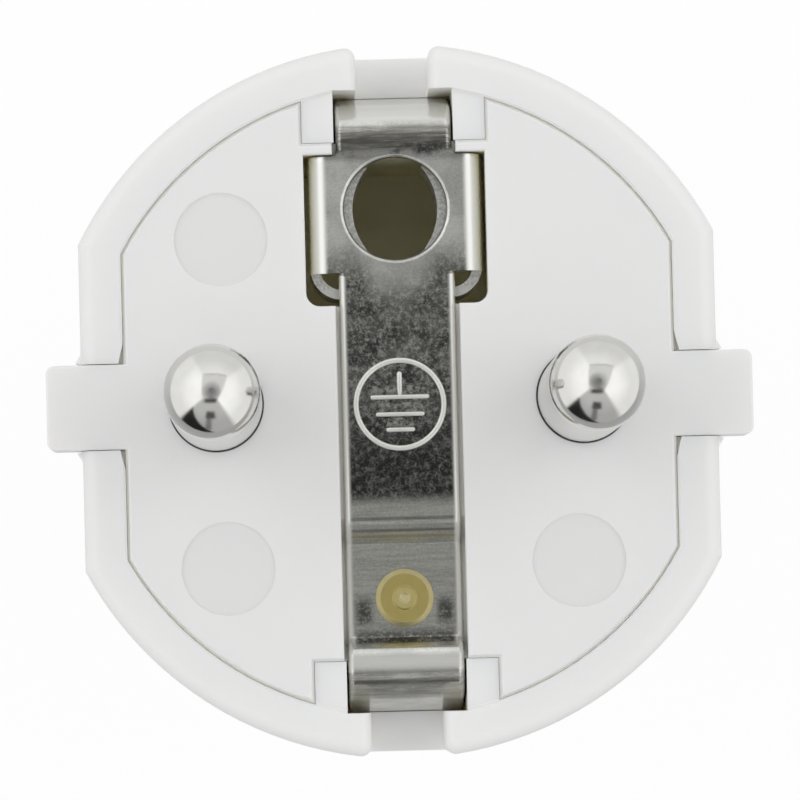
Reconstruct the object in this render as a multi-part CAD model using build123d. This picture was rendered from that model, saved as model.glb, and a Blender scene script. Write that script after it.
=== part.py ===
"""Straight two-pin plug with side earth contacts and a socket for an earth pin.

Frame: +Z runs along the pins, X across them, Y along the earth strip. The plug stands on its
flat rear end, with the origin under its middle. Every piece is drawn with the engagement face
at height 0, so depths are negative heights, and is lifted by the body's length when written.
Sizes are in millimetres.
"""
import os
from math import atan2, cos, radians, sin, sqrt, tan

from build123d import *

# Cover
ENGAGE_DEPTH = 17.0       # length that enters a socket
GRIP_LENGTH = 25.0        # the rest, to the rear end
COVER_WALL = 2.2
COVER_FRONT_ROUND = 0.8
RING_EDGE = 0.12
SHOULDER = 1.2            # step in behind the part that enters a socket
GRIP_SHARE = 0.48         # the finger scoops are narrowest at this share of the grip's length
GRIP_WAIST = 4.6          # how far the round body is drawn in there
SCOOP_WAIST = 5.25        # how far the scoops are drawn in there
REAR_WAIST = 7.5          # the same at the rear end
REAR_SCOOP = 5.85
REAR_WALL = 5.0
REAR_ROUND = 1.2
FINGER_RIBS = 5
FINGER_RIB_R = 0.6
FINGER_RIB_PITCH = 3.0
FINGER_RIB_LENGTH = 13.0
FINGER_RIB_ROUND = 0.54
INLET_R = 4.5
INLET_ROUND = 0.8

# Openings in the cover's front ring
NOTCH_WIDTH = 3.8
NOTCH_DEPTH = 6.0
NOTCH_ROUND = 0.55
NOTCH_FLAT = 0.33         # flat on the outside below the notches, inside the cover's round
GUIDE_RIB_WIDTH = 1.65    # guide ribs of the cover, beside the side contacts
GUIDE_RIB_ROOM = 0.1      # to the side contacts
GUIDE_RIB_GAP = 0.02      # to the carrier
GUIDE_RIB_SINK = 0.25
LIP_REACH = 0.28          # lips beside the lug slots
LIP_NEAR = 0.1            # a slot's edge to a lip's crest, and to the lip's foot
LIP_FAR = 0.55
SLOT_FLARE_X = 0.25       # eased inner corners of the lug slots
SLOT_FLARE_Y = 1.0
SLOT_FLARE_DEPTH = 0.6

# Carrier
CARRIER_GAP = 0.02        # all round, to the cover
REBATE = 0.12             # the carrier's edge is set back at the face
REBATE_DEPTH = 0.3
PLATE = 4.0
SKIRT_WALL = 1.2
SKIRT_SHORT = 1.0         # the skirt ends this far above the end of the engaging length
LUG_SHY = 0.25            # the lugs end this far inside the cover's round
LUG_WIDTH = 4.4
LUG_DEPTH = 3.0
LUG_ROUND = 0.45
LUG_GAP = 0.04
CARRIER_EDGE = 0.12
LEDGE = 1.6               # what the skirt stands on in the cover
POCKET_GAP = 0.25         # earth pocket, to the strip's wings
POCKET_WALL = 0.6         # between the pocket and a side contact
POCKET_REACH = 5.0        # from the hole's centre towards the middle of the face
POCKET_BELOW = 1.3        # pocket floor below the skirt
POCKET_ROUND = 0.7
POCKET_STEP = 0.8
DISC_R = 2.45             # shallow round fields on the face
DISC_SINK = 0.12
DISC_PLACES = [(-9.05, 8.5), (-9.05, -8.5), (9.05, -8.5)]

# Snap hooks of the carrier
HOOK_WALL = 1.2
HOOK_WIDTH = 4.4
HOOK_BAND = 2.0           # cover wall between a lug slot and a hook's window
HOOK_NOSE = 1.1
HOOK_NOSE_HEIGHT = 2.2
HOOK_GAP = 0.15

# Pins and terminals
PIN_SPACING = 19.0
PIN_R = 2.4
PIN_LENGTH = 19.0
PIN_MARK_R = 0.12         # turned flat on the tip
PIN_GAP = 0.05
GROOVE_RISE = 0.1         # the pins' groove starts above the face
GROOVE_DEPTH = 0.4        # where the carrier is moulded into it
GROOVE_WIDTH = 1.0
GROOVE_CUT = 0.3
POST_R = 3.0
POST_LENGTH = 9.0
POST_ROOM = 0.53          # to the skirt
WIRE_HOLE_R = 1.5
WIRE_HOLE_DEPTH = 4.5     # below the post's shoulder
SCREW_R = 1.7
SCREW_LENGTH = 4.0
SCREW_HEAD_R = 2.6
SCREW_HEAD = 2.0
SCREW_SLOT = 0.8
SCREW_CHAMFER = 0.2
THREAD_GAP = 0.05

# Earth strip
SHEET = 0.5
STRIP_WIDTH = 6.0
STRIP_RECESS = 0.4        # below the engagement face
STRIP_EDGE = 0.1          # rounded edges, on the inside of the folds and on the outside
STRIP_OUTER_EDGE = 0.32
CHANNEL_GAP = 0.2
CHANNEL_RELIEF = 0.13     # room for the bends under the jog and the rise
CONTACT_SINK = 3.25       # outer face of the side contacts inside the cover's round
CONTACT_STAND = 1.85      # that face to the carrier's wall behind it
CONTACT_BEND = 1.6        # bend radius at mid sheet
CONTACT_LIFT = 1.7        # foot of the side contacts above the skirt's foot
CONTACT_LEAN = 0.85       # how far their crest stands out from that face
CONTACT_CREST = 0.12      # that crest below the notches' floor
CONTACT_ROOM = 0.01       # that crest to the cover
CREST_BEND = 1.5
FOOT_BEND = 0.6
JOG_FAR = 3.95            # bends of the sunk panel, from the rivet
JOG_NEAR = 2.9
JOG_DROP = 1.0
RISE_NEAR = 2.15
RISE_FAR = 2.85
JOG_BEND = 0.45
EARTH_Y = 9.95            # centre of the hole for the socket's earth pin
EARTH_R = 2.65
EARTH_EDGE = 0.2
EARTH_SETBACK = 3.45      # that centre to the carrier's wall behind the side contact
WING_REACH = 3.3          # wings, from the hole's centre towards the middle of the face
WING_GAP = 0.1
WING_SPREAD = 1.45        # beyond the strip's edge
WING_BEND = 0.7
WING_CORNER = 0.3
SPRING_BITE = 0.45        # the arms stand this far inside the hole
SPRING_EASE = 1.2         # bow radius of the arms over their distance from the hole's centre
SPRING_END = 40.0         # angle from the arm's middle to its free end
SPRING_TURN = 1.37        # hairpin radius at mid sheet
SPRING_TOP = 1.35         # depth of the arms' upper edge
SPRING_DEPTH = 6.5

# Rivet end of the earth terminal
RIVET_SETBACK = 3.2       # rivet to the carrier's wall behind the side contact
RIVET_R = 1.5
RIVET_RISE = 0.36
RIVET_DIP = 0.1           # depth of the dimple and of the ring round the boss
RIVET_RIM = 0.1
RIVET_FLAT_R = 1.27
RIVET_BOSS_R = 0.55
RIVET_DIMPLE_R = 0.18
RIVET_SHANK_R = 0.95
BLOCK_WIDTH = 6.6
BLOCK_DEPTH = 4.6
BLOCK_OFFSET = 0.9        # the block stands nearer the middle than its stud

# Cord clamp
CORD_R = 3.5
CLAMP_BEHIND = 10.0       # terminal screws' heads to the middle of the clamp bar
CLAMP_HEIGHT = 5.0
CLAMP_SEAT = 0.5          # Y of the bar's seat
CLAMP_BAR = 4.4
CLAMP_EDGE = 0.2
SADDLE = 1.7              # thickness of the carrier's tongue under the cord
SADDLE_ROOM = 0.4         # cord to the tongue's trough
SADDLE_PAST = 1.5         # the tongue runs on past the bar
BOSS_R = 2.0
BOSS_ROOM = 0.1
CLAMP_SCREW_R = 1.2
CLAMP_SCREW_LENGTH = 8.5
CLAMP_HEAD_R = 2.1
CLAMP_HEAD = 1.7
CLAMP_SLOT = 0.7

# Working allowances
PAST = 1.0                # how far a cut runs past what it cuts
NEAR = 0.01               # what counts as level when edges are picked

# Plan: the flats follow from the pins, the round from the earth hole and the side contacts
CARRIER_FLAT = PIN_SPACING / 2 + POST_R + POST_ROOM + SKIRT_WALL
RING_FLAT = CARRIER_FLAT + CARRIER_GAP
COVER_FLAT = RING_FLAT + COVER_WALL
CLIP_SEAT = EARTH_Y + EARTH_SETBACK
CONTACT_FACE = CLIP_SEAT + CONTACT_STAND
CONTACT_OUT = CONTACT_FACE + CONTACT_LEAN
COVER_R = CONTACT_FACE + CONTACT_SINK
RING_R = COVER_R - COVER_WALL
CARRIER_R = RING_R - CARRIER_GAP
LUG_REACH = COVER_R - LUG_SHY
GRIP_R = COVER_R - GRIP_WAIST
REAR_R = COVER_R - REAR_WAIST
GRIP_HALF = COVER_FLAT - SCOOP_WAIST
REAR_HALF = COVER_FLAT - REAR_SCOOP
HOOK_OUT = CARRIER_FLAT + HOOK_WALL / 2
GUIDE_RIB_IN = STRIP_WIDTH / 2 + GUIDE_RIB_ROOM
GUIDE_RIB_OUT = GUIDE_RIB_IN + GUIDE_RIB_WIDTH
GUIDE_RIB_END = CLIP_SEAT + GUIDE_RIB_GAP
WING_OUT = STRIP_WIDTH / 2 + WING_SPREAD
POCKET_HALF = WING_OUT + POCKET_GAP
POCKET_HIGH = CLIP_SEAT - POCKET_WALL
POCKET_LOW = EARTH_Y - POCKET_REACH
WING_HIGH = POCKET_HIGH - WING_GAP
WING_LOW = EARTH_Y - WING_REACH
SPRING_CLEAR = EARTH_R - SPRING_BITE
SPRING_R = SPRING_CLEAR + SPRING_EASE
SADDLE_Y = POCKET_LOW - SKIRT_WALL
TROUGH_R = CORD_R + SADDLE_ROOM
CLAMP_SPACING = 2 * (TROUGH_R + BOSS_R + BOSS_ROOM)
CLAMP_HALF = CLAMP_SPACING / 2 + BOSS_R + CLAMP_EDGE
RIVET_Y = RIVET_SETBACK - CLIP_SEAT
BLOCK_Y = RIVET_Y + BLOCK_OFFSET
JOG_START = RIVET_Y + JOG_FAR
JOG_END = RIVET_Y + JOG_NEAR
RISE_START = RIVET_Y - RISE_NEAR
RISE_END = RIVET_Y - RISE_FAR

# Depths behind the engagement face, and heights
BODY_LENGTH = ENGAGE_DEPTH + GRIP_LENGTH
SKIRT_DEPTH = ENGAGE_DEPTH - SKIRT_SHORT
CREST_DEPTH = NOTCH_DEPTH + CONTACT_CREST
CONTACT_DEPTH = SKIRT_DEPTH - CONTACT_LIFT
POCKET_DEPTH = SKIRT_DEPTH + POCKET_BELOW
GRIP_DEPTH = ENGAGE_DEPTH + GRIP_SHARE * GRIP_LENGTH
HOOK_CATCH_DEPTH = ENGAGE_DEPTH + HOOK_BAND
POST_END = -PLATE - POST_LENGTH
HEAD_END = POST_END - SCREW_HEAD
CLAMP_DEPTH = CLAMP_BEHIND - HEAD_END
SADDLE_END = CLAMP_DEPTH + CLAMP_HEIGHT / 2 + SADDLE_PAST
STRIP_MID = -STRIP_RECESS - SHEET / 2
STRIP_UNDER = -STRIP_RECESS - SHEET
PANEL_TOP = -STRIP_RECESS - JOG_DROP


def box(x, y, z):
    """A block from its low and high limits along each axis."""
    size = [high - low for low, high in (x, y, z)]
    middle = [(high + low) / 2 for low, high in (x, y, z)]
    return Pos(*middle) * Box(*size)


def both_sides(shape, plane):
    return [shape, mirror(shape, about=plane)]


def flatted(radius, flat):
    """A circle cut by two side flats."""
    return Circle(radius) & Rectangle(2 * flat, 2 * radius)


def prism(sketch, top, bottom):
    return extrude(Pos(0, 0, bottom) * sketch, amount=top - bottom)


def turned(points):
    """A solid of revolution from points of radius and height."""
    return revolve(Plane.XZ * make_face(Polyline(*points, close=True)), Axis.Z)


def cover_form(inset, bottom):
    """The cover's outer form, or the same form drawn in by its wall for the inside."""
    neck = -ENGAGE_DEPTH - SHOULDER
    rear = -BODY_LENGTH
    taper = ThreePointArc((COVER_R - SHOULDER - inset, neck), (GRIP_R - inset, -GRIP_DEPTH),
                          (REAR_R - inset, rear))
    turned_edge = Polyline((REAR_R - inset, rear), (0, rear), (0, 0), (COVER_R - inset, 0),
                           (COVER_R - inset, -ENGAGE_DEPTH), (COVER_R - SHOULDER - inset, neck))
    body = revolve(Plane.XZ * make_face(turned_edge + taper), Axis.Z)

    scoop = ThreePointArc((COVER_FLAT - inset, neck), (GRIP_HALF - inset, -GRIP_DEPTH),
                          (REAR_HALF - inset, rear))
    half_edge = Polyline((REAR_HALF - inset, rear), (0, rear), (0, 0), (COVER_FLAT - inset, 0),
                         (COVER_FLAT - inset, neck))
    half = extrude(Plane.XZ * make_face(half_edge + scoop), amount=COVER_R, both=True)
    sides = half + mirror(half, about=Plane.YZ)
    keep = box((-COVER_R, COVER_R), (-COVER_R, COVER_R), (bottom, 0))
    return body & sides & keep


def scoop_half(depth):
    """Half width between the finger scoops at a depth, from the arc's three points."""
    neck = ENGAGE_DEPTH + SHOULDER
    arc = ThreePointArc((neck, COVER_FLAT), (GRIP_DEPTH, GRIP_HALF), (BODY_LENGTH, REAR_HALF))
    line = Line((depth, 0), (depth, COVER_FLAT))
    return arc.intersect(line)[0].Y


def finger_ribs():
    """Round bars with round ends, sunk half into both scoops."""
    bar = Cylinder(FINGER_RIB_R, FINGER_RIB_LENGTH, rotation=(90, 0, 0))
    bar = fillet(bar.edges().filter_by(GeomType.CIRCLE), FINGER_RIB_ROUND)
    ribs = []
    for index in range(FINGER_RIBS):
        depth = GRIP_DEPTH + (index - (FINGER_RIBS - 1) / 2) * FINGER_RIB_PITCH
        ribs += both_sides(Pos(scoop_half(depth), 0, -depth) * bar, Plane.YZ)
    return ribs


def slot_lip():
    """The raised lip on the outside of the cover, on one side of a lug slot."""
    root = COVER_FLAT - COVER_WALL / 2
    slot = LUG_WIDTH / 2 + LUG_GAP
    crest = (COVER_FLAT + LIP_REACH, slot + LIP_NEAR)
    foot = slot + LIP_FAR
    edge = Polyline((root, 0), (COVER_FLAT, 0), (COVER_FLAT, slot), crest, (COVER_FLAT, foot),
                    (root, foot), close=True)
    return prism(make_face(edge), -COVER_FRONT_ROUND, -LUG_DEPTH)


def lug_slot():
    """The opening for a lug in the cover's side, with its inner corners eased at the face."""
    half = LUG_WIDTH / 2 + LUG_GAP
    wide = half + SLOT_FLARE_Y
    eased = RING_FLAT + SLOT_FLARE_X
    edge = Polyline((0, -wide), (RING_FLAT, -wide), (eased, -half), (eased, half), (RING_FLAT, wide),
                    (0, wide), close=True)
    slot = box((0, COVER_R), (-half, half), (-LUG_DEPTH - LUG_GAP, PAST))
    return slot + prism(make_face(edge), PAST, -SLOT_FLARE_DEPTH)


def outer_cover():
    outer = cover_form(0, -BODY_LENGTH)
    outer = fillet(outer.faces().sort_by(Axis.Z)[-1].edges(), COVER_FRONT_ROUND)
    outer = fillet(outer.faces().sort_by(Axis.Z)[0].edges(), REAR_ROUND)

    notch_half = NOTCH_WIDTH / 2
    notch = box((-notch_half, notch_half), (GUIDE_RIB_END, COVER_R + PAST), (-NOTCH_DEPTH, PAST))
    outer -= both_sides(notch, Plane.XZ)
    corners = [edge for edge in outer.edges().filter_by(Axis.Z) if abs(edge.center().Y) > RING_R]
    outer = fillet(corners, NOTCH_ROUND)
    flat_half = notch_half + NOTCH_ROUND
    flat = box((-flat_half, flat_half), (COVER_R - NOTCH_FLAT, COVER_R + PAST),
               (-ENGAGE_DEPTH - SHOULDER, -NOTCH_DEPTH))
    outer -= both_sides(flat, Plane.XZ)

    for lip in both_sides(slot_lip(), Plane.XZ):
        outer += both_sides(lip, Plane.YZ)
    outer += finger_ribs()

    ledge_flat = RING_FLAT - LEDGE
    inside = cover_form(COVER_WALL, -BODY_LENGTH + REAR_WALL)
    inside &= prism(flatted(RING_R - LEDGE, ledge_flat), 0, -BODY_LENGTH)
    inside += prism(flatted(RING_R, RING_FLAT), 0, -SKIRT_DEPTH)
    mouth = Pos(0, 0, -RING_EDGE) * flatted(RING_R, RING_FLAT)
    inside += loft([mouth, flatted(RING_R + RING_EDGE, RING_FLAT + RING_EDGE)], ruled=True)
    room = CONTACT_OUT + CONTACT_ROOM
    behind = box((-GUIDE_RIB_IN, GUIDE_RIB_IN), (room, COVER_R), (-SKIRT_DEPTH, 0))
    inside -= both_sides(behind, Plane.XZ)
    inside += box((-GUIDE_RIB_IN, GUIDE_RIB_IN), (-room, room), (-SKIRT_DEPTH, 0))
    cover = outer - inside

    rib = box((GUIDE_RIB_IN, GUIDE_RIB_OUT), (GUIDE_RIB_END, RING_R),
              (-SKIRT_DEPTH, -GUIDE_RIB_SINK))
    for side in both_sides(rib, Plane.YZ):
        cover += both_sides(side, Plane.XZ)

    hook_half = HOOK_WIDTH / 2 + HOOK_GAP
    hook_end = -HOOK_CATCH_DEPTH - HOOK_NOSE_HEIGHT
    groove = box((0, HOOK_OUT + HOOK_GAP), (-hook_half, hook_half),
                 (hook_end - HOOK_WALL, -LUG_DEPTH))
    window = box((0, COVER_R), (-hook_half, hook_half), (hook_end - HOOK_GAP, -HOOK_CATCH_DEPTH))
    for cut in (lug_slot(), groove, window):
        cover -= both_sides(cut, Plane.YZ)
    cover -= prism(Circle(INLET_R), -BODY_LENGTH + REAR_WALL + PAST, -BODY_LENGTH - PAST)
    rear = cover.faces().sort_by(Axis.Z)[0]
    return fillet(rear.inner_wires()[0].edges(), INLET_ROUND)


def carrier_outline(inset):
    """The carrier's plan, cut away at both ends for the cover's ribs, or that plan drawn in."""
    half = GUIDE_RIB_OUT + CARRIER_GAP + inset
    seat = CLIP_SEAT - inset
    cut = Pos(0, (seat + COVER_R) / 2) * Rectangle(2 * half, COVER_R - seat)
    return flatted(CARRIER_R - inset, CARRIER_FLAT - inset) - cut - mirror(cut, about=Plane.XZ)


def snap_hook():
    """An arm below the skirt, with a nose that catches under the window's upper edge."""
    inner = HOOK_OUT - HOOK_WALL
    tip = -HOOK_CATCH_DEPTH - HOOK_NOSE_HEIGHT
    edge = Polyline((inner, -SKIRT_DEPTH + SKIRT_WALL), (HOOK_OUT, -SKIRT_DEPTH + SKIRT_WALL),
                    (HOOK_OUT, -HOOK_CATCH_DEPTH), (HOOK_OUT + HOOK_NOSE, -HOOK_CATCH_DEPTH),
                    (HOOK_OUT, tip), (inner, tip), close=True)
    return extrude(Plane.XZ * make_face(edge), amount=HOOK_WIDTH / 2, both=True)


def pin_bore():
    """The space that a pin and its moulded-in groove leave in the carrier."""
    wide = PIN_R + PIN_GAP
    narrow = PIN_R - GROOVE_CUT + PIN_GAP
    top, low = -GROOVE_DEPTH - PIN_GAP, -GROOVE_DEPTH - GROOVE_WIDTH + PIN_GAP
    return turned([(0, PAST), (wide, PAST), (wide, top), (narrow, top), (narrow, low), (wide, low),
                   (wide, -PLATE - PAST), (0, -PLATE - PAST)])


def rivet_bore():
    return Pos(0, RIVET_Y, 0) * prism(Circle(RIVET_SHANK_R + PIN_GAP), PAST, -PLATE - PAST)


def under_shift(run):
    """How far a slope of the strip's underside lies from the same slope at mid sheet."""
    return SHEET / 2 * tan(atan2(JOG_DROP, run) / 2)


def strip_channel():
    """The trough that the strip lies in, open to the face."""
    drop = STRIP_UNDER - JOG_DROP
    jog = under_shift(JOG_START - JOG_END) + CHANNEL_RELIEF
    rise = under_shift(RISE_START - RISE_END) + CHANNEL_RELIEF
    edge = Polyline((CARRIER_R, PAST), (CARRIER_R, STRIP_UNDER), (JOG_START + jog, STRIP_UNDER),
                    (JOG_END + jog, drop), (RISE_START - rise, drop), (RISE_END - rise, STRIP_UNDER),
                    (-CARRIER_R, STRIP_UNDER), (-CARRIER_R, PAST), close=True)
    return extrude(Plane.YZ * make_face(edge), amount=STRIP_WIDTH / 2 + CHANNEL_GAP, both=True)


def clamp_places():
    """The clamp screws' axes, at the bar's seat."""
    return [(x, CLAMP_SEAT, -CLAMP_DEPTH) for x in (-CLAMP_SPACING / 2, CLAMP_SPACING / 2)]


def along_y(place, radius, length):
    """A cylinder from a place, in the +Y direction."""
    return extrude(Plane(place, z_dir=(0, 1, 0)) * Circle(radius), amount=length)


def cord_saddle():
    """The carrier's tongue behind the terminals, hollowed for the cord, with two screw bosses."""
    back = SADDLE_Y + SADDLE
    neck = PIN_SPACING / 2 - POST_R - POST_ROOM
    tongue = box((-CLAMP_HALF, CLAMP_HALF), (SADDLE_Y, back), (-SADDLE_END, HEAD_END))
    tongue += box((-neck, neck), (SADDLE_Y, back), (HEAD_END, -PLATE))
    trough = prism(Circle(TROUGH_R), HEAD_END, -SADDLE_END)
    saddle = tongue - Pos(0, CLAMP_SEAT, 0) * trough
    for place in clamp_places():
        saddle += along_y(place, BOSS_R, SADDLE_Y - CLAMP_SEAT)
    for place in clamp_places():
        saddle -= along_y(place, CLAMP_SCREW_R + THREAD_GAP, back - CLAMP_SEAT)
    return saddle


def face_insert():
    outline = carrier_outline(0)
    body = prism(carrier_outline(REBATE), 0, -REBATE_DEPTH)
    body += prism(outline, -REBATE_DEPTH, -SKIRT_DEPTH)
    body -= prism(carrier_outline(SKIRT_WALL), -PLATE, -SKIRT_DEPTH)

    lug = box((CARRIER_FLAT - SKIRT_WALL, LUG_REACH), (-LUG_WIDTH / 2, LUG_WIDTH / 2),
              (-LUG_DEPTH, 0))
    lug = fillet([e for e in lug.edges().filter_by(Axis.Z) if e.center().X > CARRIER_FLAT], LUG_ROUND)
    for piece in (lug, snap_hook()):
        body += both_sides(piece, Plane.YZ)

    well = box((-POCKET_HALF - SKIRT_WALL, POCKET_HALF + SKIRT_WALL), (SADDLE_Y, CLIP_SEAT),
               (-POCKET_DEPTH - SKIRT_WALL, 0))
    body += well & prism(outline, -REBATE_DEPTH, -POCKET_DEPTH - SKIRT_WALL)
    body += cord_saddle()

    pocket = box((-POCKET_HALF, POCKET_HALF), (POCKET_LOW, POCKET_HIGH), (-POCKET_DEPTH, PAST))
    low_corners = [e for e in pocket.edges().filter_by(Axis.Z) if e.center().Y < EARTH_Y]
    body -= fillet(low_corners, POCKET_ROUND)
    step = -POCKET_DEPTH + POCKET_STEP
    body += box((-POCKET_HALF, POCKET_HALF), (POCKET_LOW, EARTH_Y), (-POCKET_DEPTH, step))
    body -= strip_channel()
    for x in (-PIN_SPACING / 2, PIN_SPACING / 2):
        body -= Pos(x, 0, 0) * pin_bore()
    body -= rivet_bore()
    for x, y in DISC_PLACES:
        body -= Pos(x, y, 0) * prism(Circle(DISC_R), PAST, -DISC_SINK)
    face_edges = body.edges().filter_by_position(Axis.Z, -NEAR, NEAR)
    return fillet([edge for edge in face_edges if not edge.is_closed], CARRIER_EDGE)


def drilled(post):
    """A terminal post with its hole for the wire and its hole for the screw."""
    hole = -PLATE - WIRE_HOLE_DEPTH
    post -= Pos(0, 0, hole) * Cylinder(WIRE_HOLE_R, 3 * POST_R, rotation=(0, 90, 0))
    return post - prism(Circle(SCREW_R + THREAD_GAP), hole, POST_END)


def contact_pin():
    """Round pin with a domed tip, its groove, and the terminal post behind the plate."""
    shoulder = PIN_LENGTH - PIN_R
    groove_end = -GROOVE_DEPTH - GROOVE_WIDTH
    neck = PIN_R - GROOVE_CUT
    pin = turned([(0, shoulder), (PIN_R, shoulder), (PIN_R, GROOVE_RISE), (neck, GROOVE_RISE),
                  (neck, groove_end), (PIN_R, groove_end), (PIN_R, -PLATE), (POST_R, -PLATE),
                  (POST_R, POST_END), (0, POST_END)])
    pin = drilled(pin)
    dome = Pos(0, 0, shoulder) * Sphere(PIN_R)
    flat = sqrt(PIN_R ** 2 - PIN_MARK_R ** 2)
    dome &= box((-PIN_R, PIN_R), (-PIN_R, PIN_R), (shoulder, shoulder + flat))
    return pin + dome


def earth_terminal():
    """Brass block whose stud is riveted over the strip's panel, with the carrier held between them."""
    top = PANEL_TOP + RIVET_RISE
    dip = top - RIVET_DIP
    rim = PANEL_TOP + RIVET_RIM
    stud = turned([(0, dip), (RIVET_DIMPLE_R, dip), (RIVET_DIMPLE_R + RIVET_DIP, top),
                   (RIVET_BOSS_R, top), (RIVET_BOSS_R + RIVET_DIP, dip), (RIVET_FLAT_R, dip),
                   (RIVET_R, rim), (RIVET_R, PANEL_TOP), (RIVET_SHANK_R, PANEL_TOP),
                   (RIVET_SHANK_R, -PLATE), (0, -PLATE)])
    block = box((-BLOCK_WIDTH / 2, BLOCK_WIDTH / 2), (-BLOCK_DEPTH / 2, BLOCK_DEPTH / 2),
                (POST_END, -PLATE))
    return Pos(0, RIVET_Y, 0) * stud + Pos(0, BLOCK_Y, 0) * drilled(block)


def slotted_screw(shank_r, length, head_r, head, slot):
    """Cheese-head screw: the shank points up, the head's seat is at height 0."""
    edge = SCREW_CHAMFER
    screw = turned([(0, length), (shank_r - edge, length), (shank_r, length - edge), (shank_r, 0),
                    (head_r, 0), (head_r, edge - head), (head_r - edge, -head), (0, -head)])
    return screw - box((-head_r, head_r), (-slot / 2, slot / 2), (-head, -head / 2))


def terminal_screw():
    screw = slotted_screw(SCREW_R, SCREW_LENGTH, SCREW_HEAD_R, SCREW_HEAD, SCREW_SLOT)
    return Pos(0, 0, POST_END) * screw


def strip_ribbon():
    """The strip's run from foot to foot, as a sheet of one thickness folded along its length."""
    leg = CONTACT_FACE - SHEET / 2
    crest = CONTACT_OUT - SHEET / 2
    foot = CLIP_SEAT + SHEET / 2
    floor = -CONTACT_DEPTH
    low = STRIP_MID - JOG_DROP
    points = [(foot, floor), (leg, floor), (crest, -CREST_DEPTH), (leg, STRIP_MID),
              (JOG_START, STRIP_MID), (JOG_END, low), (RISE_START, low), (RISE_END, STRIP_MID),
              (-leg, STRIP_MID), (-crest, -CREST_DEPTH), (-leg, floor), (-foot, floor)]
    bends = [FOOT_BEND, CREST_BEND, CONTACT_BEND, JOG_BEND, JOG_BEND,
             JOG_BEND, JOG_BEND, CONTACT_BEND, CREST_BEND, FOOT_BEND]
    path = Plane.YZ * FilletPolyline(*points, radius=bends)
    section = Rectangle(STRIP_WIDTH, SHEET)
    section = fillet(section.vertices().group_by(Axis.Y)[-1], STRIP_OUTER_EDGE)
    section = fillet(section.vertices().group_by(Axis.Y)[0], STRIP_EDGE)
    start = Plane(origin=path @ 0, z_dir=path % 0, x_dir=(1, 0, 0))
    return sweep(start * section, path=path)


def wing_saddle():
    """The wings beside the earth hole, bent down into the pocket."""
    wall = WING_OUT - SHEET / 2
    path = FilletPolyline((-wall, -SPRING_DEPTH), (-wall, STRIP_MID), (wall, STRIP_MID),
                          (wall, -SPRING_DEPTH), radius=WING_BEND)
    path = Plane.XZ.offset(-WING_LOW) * path
    start = Plane(origin=path @ 0, z_dir=path % 0, x_dir=(0, 1, 0))
    length = WING_HIGH - WING_LOW
    return Pos(0, length / 2, 0) * sweep(start * Rectangle(length, SHEET), path=path)


def spring_arm():
    """One arm: it runs on from a wing's wall, turns back in a hairpin and bows round the earth pin."""
    bow = SPRING_R + SHEET / 2
    bow_x = SPRING_R - SPRING_CLEAR
    wall = WING_OUT - SHEET / 2
    turn_x = -wall + SPRING_TURN
    reach = bow + SPRING_TURN
    turn_y = EARTH_Y - sqrt(reach ** 2 - (bow_x - turn_x) ** 2)
    along = Vector((bow_x - turn_x) / reach, (EARTH_Y - turn_y) / reach)
    join = Vector(turn_x, turn_y) + along * SPRING_TURN
    end = radians(180 - SPRING_END)
    free = (bow_x + bow * cos(end), EARTH_Y + bow * sin(end))
    path = Line((-wall, EARTH_Y), (-wall, turn_y))
    path += ThreePointArc((-wall, turn_y), (turn_x, turn_y - SPRING_TURN), (join.X, join.Y))
    path += ThreePointArc((join.X, join.Y), (bow_x - bow, EARTH_Y), free)
    height = SPRING_DEPTH - SPRING_TOP
    path = Pos(0, 0, -SPRING_TOP - height / 2) * path
    start = Plane(origin=path @ 0, z_dir=path % 0, x_dir=(1, 0, 0))
    return sweep(start * Rectangle(SHEET, height), path=path)


def wing_corner():
    """The rounded inside corner where a wing leaves the strip."""
    edge = STRIP_WIDTH / 2
    web = Pos(edge, WING_HIGH) * Rectangle(2 * WING_CORNER, 2 * WING_CORNER)
    web -= Pos(edge + WING_CORNER, WING_HIGH + WING_CORNER) * Circle(WING_CORNER)
    return prism(web, -STRIP_RECESS, STRIP_UNDER)


def earth_strip():
    strip = strip_ribbon()
    strip += wing_saddle()
    for side in (wing_corner(), spring_arm()):
        strip += both_sides(side, Plane.YZ)
    strip -= Pos(0, EARTH_Y, 0) * prism(Circle(EARTH_R), PAST, -SPRING_TOP)
    strip -= rivet_bore()
    rim = [edge for edge in strip.edges().filter_by(GeomType.CIRCLE)
           if abs(edge.radius - EARTH_R) < NEAR and abs(edge.center().Z + STRIP_RECESS) < NEAR]
    return fillet(rim, EARTH_EDGE)


def cord_clamp_bar():
    bar = box((-CLAMP_HALF, CLAMP_HALF), (CLAMP_SEAT - CLAMP_BAR, CLAMP_SEAT),
              (-CLAMP_DEPTH - CLAMP_HEIGHT / 2, -CLAMP_DEPTH + CLAMP_HEIGHT / 2))
    bar -= Pos(0, CLAMP_SEAT, -CLAMP_DEPTH) * Cylinder(CORD_R, 2 * CLAMP_HEIGHT)
    for place in clamp_places():
        bar -= along_y(place, CLAMP_SCREW_R + THREAD_GAP, -CLAMP_BAR)
    return bar


def cord_clamp_screws():
    screw = slotted_screw(CLAMP_SCREW_R, CLAMP_SCREW_LENGTH, CLAMP_HEAD_R, CLAMP_HEAD, CLAMP_SLOT)
    screw = Pos(0, -CLAMP_BAR, 0) * Rot(-90, 0, 0) * screw
    return Compound([Pos(*place) * screw for place in clamp_places()])


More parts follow.
